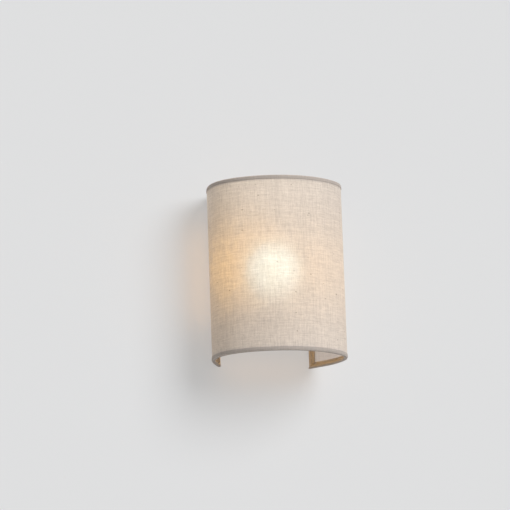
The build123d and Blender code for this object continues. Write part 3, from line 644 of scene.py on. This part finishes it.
# ------------------------------------------------------------------ frame of the shade
# Two rings of 3 mm steel wire, two uprights welded between them and a flat hanger bar with two tongues,
# all coated white. The rings and uprights lie inside the folds of the bindings.
def make_grain():
    """Node group: slow clouding and fine grain of a coated, moulded or plated surface."""
    tree = bpy.data.node_groups.new("surface_grain", "ShaderNodeTree")
    group_socket(tree, "Place", "INPUT", "NodeSocketVector")
    group_socket(tree, "Cloud Scale", "INPUT", "NodeSocketFloat", 60)
    group_socket(tree, "Grain Scale", "INPUT", "NodeSocketFloat", 1500)
    group_socket(tree, "Cloud", "OUTPUT", "NodeSocketFloat")
    group_socket(tree, "Grain", "OUTPUT", "NodeSocketFloat")
    given = add_node(tree, "NodeGroupInput").outputs
    result = add_node(tree, "NodeGroupOutput").inputs
    for label, detail, low, high in (("Cloud", 4, 0.35, 0.65), ("Grain", 2, 0.3, 0.7)):
        field = noise(tree, given["Place"], given[f"{label} Scale"], detail)
        tree.links.new(stretch(tree, field, low, high), result[label])
    return tree


grain_group = make_grain()


def solid_material(name, pale, dark, roughness, relief, grain=1500, cloud=60, metallic=0.0, coat=0.0):
    """A coated, moulded or metal finish: clouded colour, grained gloss and a fine relief in metres."""
    gloss_spread = 0.15
    made, tree, shader = new_material(name)
    grained = add_node(tree, "ShaderNodeGroup", node_tree=grain_group)
    tree.links.new(add_node(tree, "ShaderNodeTexCoord").outputs["Object"], grained.inputs["Place"])
    grained.inputs["Cloud Scale"].default_value = cloud
    grained.inputs["Grain Scale"].default_value = grain
    colour = mix_colours(tree, grained.outputs["Cloud"], (*pale, 1), (*dark, 1))
    tree.links.new(colour, shader.inputs["Base Color"])
    smoothest, roughest = roughness * (1 - gloss_spread), roughness * (1 + gloss_spread)
    gloss = stretch(tree, grained.outputs["Grain"], 0, 1, smoothest, roughest)
    tree.links.new(gloss, shader.inputs["Roughness"])
    bump = add_node(tree, "ShaderNodeBump")
    bump.inputs["Distance"].default_value = relief
    tree.links.new(grained.outputs["Grain"], bump.inputs["Height"])
    tree.links.new(bump.outputs["Normal"], shader.inputs["Normal"])
    shader.inputs["Metallic"].default_value = metallic
    shader.inputs["Coat Weight"].default_value = coat
    return made


def finish_with(material, *names):
    """Gives one finish to pieces that keep their solid's shape."""
    for name in names:
        surface = nodes[name].data.materials
        surface.clear()
        surface.append(material)


wire_coat = solid_material("coated_wire", (0.86, 0.86, 0.84), (0.80, 0.80, 0.78), 0.38, 0.00003, cloud=40)
finish_with(wire_coat, "top_ring", "bottom_ring", "side_uprights", "hanger_bar")

# ------------------------------------------------------------------ wall plate, pockets and arm
# Pressed steel sheet, powder coated white: the plate with its folded sides, two saddles that take the
# shade's tongues, and the folded arm that carries the lampholder. The fine orange peel is the powder's.
powder_coat = solid_material(
    "powder_coat", (0.87, 0.87, 0.85), (0.82, 0.82, 0.80), 0.42, 0.00006, grain=900, cloud=25, coat=0.15
)
finish_with(powder_coat, "back_plate", "hanger_pockets", "lampholder_bracket")
rubber = solid_material(
    "grommet_rubber", (0.035, 0.035, 0.037), (0.06, 0.06, 0.062), 0.7, 0.00005, cloud=150
)
finish_with(rubber, "cable_grommet")
zinc = solid_material(
    "zinc_plate", (0.74, 0.75, 0.76), (0.60, 0.60, 0.62), 0.32, 0.00002, grain=2600, cloud=180, metallic=1
)
finish_with(
    zinc, "bracket_screws", "block_screws", "earth_screw", "earth_washer", "nipple_washer", "nipple_nut"
)

# ------------------------------------------------------------------ lampholder
# A heat-resisting white moulding in two halves on a threaded tube. Inside sit a brass screw shell whose
# thread takes the lamp, the contact spring and the clamps of the two leads.
moulding = solid_material(
    "holder_moulding", (0.88, 0.87, 0.84), (0.83, 0.82, 0.79), 0.36, 0.00003, grain=1100, cloud=35
)
finish_with(moulding, "lampholder_cap", "lampholder_body", "contact_carrier")
brass = solid_material(
    "holder_brass", (0.80, 0.61, 0.29), (0.62, 0.45, 0.19), 0.28, 0.00002, grain=2200, cloud=140, metallic=1
)
finish_with(brass, "centre_contact", "holder_terminals", "terminal_inserts")
finish_with(zinc, "holder_terminal_screws", "terminal_screws")
thread_steps = 56
wave_steps = 10
spare_turns = 4
weld_gap = 0.000005
lamp_pitch = 0.00363
lamp_thread_depth = 0.0009


def turn_profile(name, points, pitch=0.0, turns=1):
    """A profile of (radius, z) points turned about the lamp's axis, or wound up it as a thread."""
    draw_fold(name, [Vector((radius, 0, z)) for radius, z in points])
    bpy.ops.object.mode_set(mode="OBJECT")
    piece = bpy.context.object
    winding = piece.modifiers.new("turns", "SCREW")
    winding.steps = winding.render_steps = thread_steps
    winding.iterations = turns
    winding.screw_offset = pitch
    winding.use_merge_vertices = True
    winding.merge_threshold = weld_gap
    bpy.ops.object.modifier_apply(modifier=winding.name)
    piece.location = (0, lamp_axis.y, 0)
    bpy.ops.object.transform_apply(location=True, rotation=True, scale=True)
    return piece


def wind_thread(name, radius, depth, pitch, low, high, start, fill):
    """A rolled thread between two heights; threads with the same start and pitch run together."""
    first = start + pitch * ((low - start) // pitch - 1)
    points = [
        (radius - depth * (0.5 - 0.5 * cos(2 * pi * step / wave_steps)), first + pitch * step / wave_steps)
        for step in range(wave_steps + 1)
    ]
    piece = turn_profile(name, points, pitch, int((high - low) / pitch) + spare_turns)
    bpy.ops.object.mode_set(mode="EDIT")
    for height, normal in ((low, -1), (high, 1)):
        bpy.ops.mesh.select_all(action="SELECT")
        bpy.ops.mesh.bisect(
            plane_co=(0, 0, height), plane_no=(0, 0, normal), clear_outer=True, use_fill=fill
        )
    bpy.ops.mesh.select_all(action="SELECT")
    bpy.ops.mesh.remove_doubles(threshold=weld_gap)
    bpy.ops.object.mode_set(mode="OBJECT")
    return piece


def finish_piece(piece, material, body, node):
    """Faces a turned piece outwards and gives it to its body in its plain solid's place."""
    face_outwards(piece)
    piece.data.materials.clear()
    piece.data.materials.append(material)
    bpy.ops.object.shade_smooth_by_angle(angle=radians(40))
    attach(piece, body)
    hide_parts(node)


shell_low, shell_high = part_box("lampholder_shell")
shell_sheet = 0.0003
shell = wind_thread(
    "threaded_shell", shell_high.x - shell_sheet / 2, lamp_thread_depth, lamp_pitch,
    shell_low.z, shell_high.z, shell_low.z, fill=False,
)
give_thickness(shell, shell_sheet)
finish_piece(shell, brass, "wall_unit", "lampholder_shell")

tube_low, tube_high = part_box("holder_nipple")
tube_wall = 0.0011
tube_pitch = 0.001
tube_thread_depth = 0.0005
tube = wind_thread(
    "threaded_tube", tube_high.x - tube_wall / 2, tube_thread_depth, tube_pitch,
    tube_low.z, tube_high.z, tube_low.z, fill=False,
)
give_thickness(tube, tube_wall)
finish_piece(tube, zinc, "wall_unit", "holder_nipple")

# ------------------------------------------------------------------ lamp
# An opal globe on a white housing. Its plated screw cap has a rolled thread that winds out of the
# holder's shell, and ends in a black insulator with the centre contact.
cap_low, cap_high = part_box("bulb_cap")
cap_r = cap_high.x
cap_root_r = cap_r - lamp_thread_depth
cap_play = 0.0001
cap_collar = 0.0022
cap_foot = 0.0026
cap_foot_r = 0.0105
foot_flare = 0.0009
into_thread = 1.05
plating = solid_material(
    "cap_plating", (0.80, 0.79, 0.77), (0.68, 0.67, 0.65), 0.25, 0.00002, grain=1800, cloud=90, metallic=1
)
cap_thread = wind_thread(
    "threaded_cap", cap_r - cap_play, lamp_thread_depth, lamp_pitch,
    cap_low.z + cap_foot, cap_high.z - cap_collar, shell_low.z, fill=True,
)
collar_end = cap_high.z - cap_collar * into_thread
collar = turn_profile("cap_collar", [
    (0, cap_high.z), (cap_r, cap_high.z), (cap_r, cap_high.z - cap_collar * 0.7),
    (cap_root_r, collar_end), (0, collar_end),
])
foot_end = cap_low.z + cap_foot * into_thread
foot = turn_profile("cap_foot", [
    (0, cap_low.z), (cap_foot_r, cap_low.z), (cap_foot_r + foot_flare, cap_low.z + cap_foot * 0.35),
    (cap_root_r, foot_end), (0, foot_end),
])
bpy.ops.object.select_all(action="DESELECT")
for part in (collar, foot, cap_thread):
    part.select_set(True)
bpy.context.view_layer.objects.active = cap_thread
bpy.ops.object.join()
finish_piece(cap_thread, plating, "bulb", "bulb_cap")

for node, finish in (
    ("bulb_housing", solid_material(
        "lamp_housing", (0.92, 0.92, 0.90), (0.88, 0.88, 0.86), 0.3, 0.00002, grain=700, coat=0.2
    )),
    ("led_board", solid_material(
        "printed_board", (0.90, 0.90, 0.88), (0.84, 0.84, 0.80), 0.45, 0.00003, grain=1900
    )),
    ("bulb_insulator", solid_material(
        "black_glass", (0.02, 0.02, 0.022), (0.05, 0.045, 0.05), 0.18, 0.00002, cloud=200
    )),
    ("bulb_tip_contact", solid_material(
        "solder", (0.70, 0.70, 0.69), (0.52, 0.52, 0.53), 0.35, 0.00004, grain=900, metallic=1
    )),
):
    finish_with(finish, node)

# ------------------------------------------------------------------ terminal block and leads
# A natural nylon block with brass tubes and steel screws, and three insulated leads: brown and blue to
# the holder, green and yellow to the plate through a tinned crimp tag.
for node, finish in (
    ("terminal_block", solid_material(
        "natural_nylon", (0.88, 0.88, 0.84), (0.80, 0.80, 0.74), 0.5, 0.00004, cloud=120
    )),
    ("earth_tag", solid_material(
        "tinned_copper", (0.74, 0.74, 0.72), (0.60, 0.59, 0.56), 0.3, 0.00003, cloud=250, metallic=1
    )),
    ("live_lead", solid_material(
        "brown_lead", (0.26, 0.12, 0.055), (0.20, 0.09, 0.04), 0.42, 0.00002, cloud=300
    )),
    ("neutral_lead", solid_material(
        "blue_lead", (0.06, 0.18, 0.50), (0.045, 0.14, 0.42), 0.42, 0.00002, cloud=300
    )),
):
    finish_with(finish, node)

stripe_from, stripe_to = 0.00125, 0.0014
scuff_scale = 900
earth_yellow, earth_green = (0.72, 0.62, 0.04, 1), (0.10, 0.36, 0.06, 1)
earth_pvc, tree, shader = new_material("earth_lead")
place = add_node(tree, "ShaderNodeTexCoord").outputs["Object"]
apart = add_node(tree, "ShaderNodeSeparateXYZ")
tree.links.new(place, apart.inputs[0])
lead_low, lead_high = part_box("earth_lead")
off_middle = do_maths(tree, "ADD", apart.outputs["Y"], -(lead_low.y + lead_high.y) / 2)
stripe = stretch(tree, do_maths(tree, "ABSOLUTE", off_middle), stripe_from, stripe_to)
tree.links.new(mix_colours(tree, stripe, earth_yellow, earth_green), shader.inputs["Base Color"])
scuffs = stretch(tree, noise(tree, place, scuff_scale), 0.3, 0.7, 0.36, 0.48)
tree.links.new(scuffs, shader.inputs["Roughness"])
finish_with(earth_pvc, "earth_lead")

# ------------------------------------------------------------------ the lamp's light
# An opal globe that gives a warm light all round. A soft beam stands in for the lamp's own bright disc,
# which the thin linen lets through in the line of sight.
opal, tree, shader = new_material("opal_glass")
shader.inputs["Base Color"].default_value = (0.86, 0.85, 0.82, 1)
shader.inputs["Roughness"].default_value = 0.35
shader.inputs["Emission Color"].default_value = (1, 0.80, 0.55, 1)
shader.inputs["Emission Strength"].default_value = 1.6
finish_with(opal, "bulb_globe")


def collect(name, *pieces):
    """A collection that says which pieces a lamp lights."""
    made = bpy.data.collections.new(name)
    for piece in pieces:
        made.objects.link(piece)
    return made


def light_only(lamp, lit, softness):
    """Makes a lamp with a soft edge light one collection alone, past anything that isn't in it."""
    lamp.data.shadow_soft_size = softness
    lamp.light_linking.receiver_collection = lit
    lamp.light_linking.blocker_collection = lit
    lamp.visible_camera = False


cloths = collect("cloths", linen, low_rim, top_rim, right_edge, left_edge)
globe_r = (globe_high.x - globe_low.x) / 2
globe_centre = Vector((0, lamp_axis.y, globe_high.z - globe_r))
glow_centre = globe_centre - Vector((0, 0, 0.016))
disc_centre = globe_centre - Vector((0.006, 0, 0.006))
glow_softness = 0.012
glow_colour = (1, 0.535, 0)
disc_colour = (0.63, 0.83, 0.9)
glow = add_lamp("lamp_glow", "POINT", 0.275, glow_colour)
glow.location = glow_centre
light_only(glow, cloths, glow_softness)
for name, centre, way, power, colour, angle in (
    ("left_glow", glow_centre, Vector((-0.9, -0.6, 0.13)), 0.45, glow_colour, radians(110)),
    ("lamp_beam", disc_centre, towards_camera, 0.8, disc_colour, radians(70)),
):
    beam = add_lamp(name, "SPOT", power, colour)
    face_lamp(beam, -way, 0, centre)
    beam.data.spot_size = angle
    beam.data.spot_blend = 1
    light_only(beam, cloths, glow_softness)

# ------------------------------------------------------------------ light that the shade gives back
# Warm light from the cloth on the wall beside and below it, the lamp's light on the inner face, and the
# studio's light that falls on the linen from above.
walls = collect("walls", wall)
spill_colour = (1, 0.5, 0.1)
spill_softness = 0.01
for name, spot, size_x, size_z, power in (
    ("spill_left", Vector((-0.088, -0.03, 0.006)), 0.02, 0.13, 0.0105),
    ("spill_below", Vector((0.005, -0.03, shade_bottom - 0.005)), 0.13, 0.02, 0.006),
):
    spill = add_lamp(name, "AREA", power, spill_colour)
    spill.data.shape = "RECTANGLE"
    spill.data.size = size_x
    spill.data.size_y = size_z
    face_lamp(spill, (0, -1, 0), 0, spot)
    light_only(spill, walls, spill_softness)

fill_power = 0.125
fill_softness = 0.03
inner_fill = add_lamp("inner_fill", "POINT", fill_power)
inner_fill.location = (0, lamp_y, shade_bottom)
light_only(inner_fill, collect("inner_faces", liner), fill_softness)

top_power = 0.32
top_colour = (1, 0.89, 0.72)
top_size = 0.2
top_distance = 0.37
top_lamp = add_lamp("top_lamp", "AREA", top_power, top_colour)
top_lamp.data.size = top_size
face_lamp(top_lamp, (-0.3, -0.35, 0.6), top_distance)
top_lamp.light_linking.receiver_collection = collect("panels", linen)
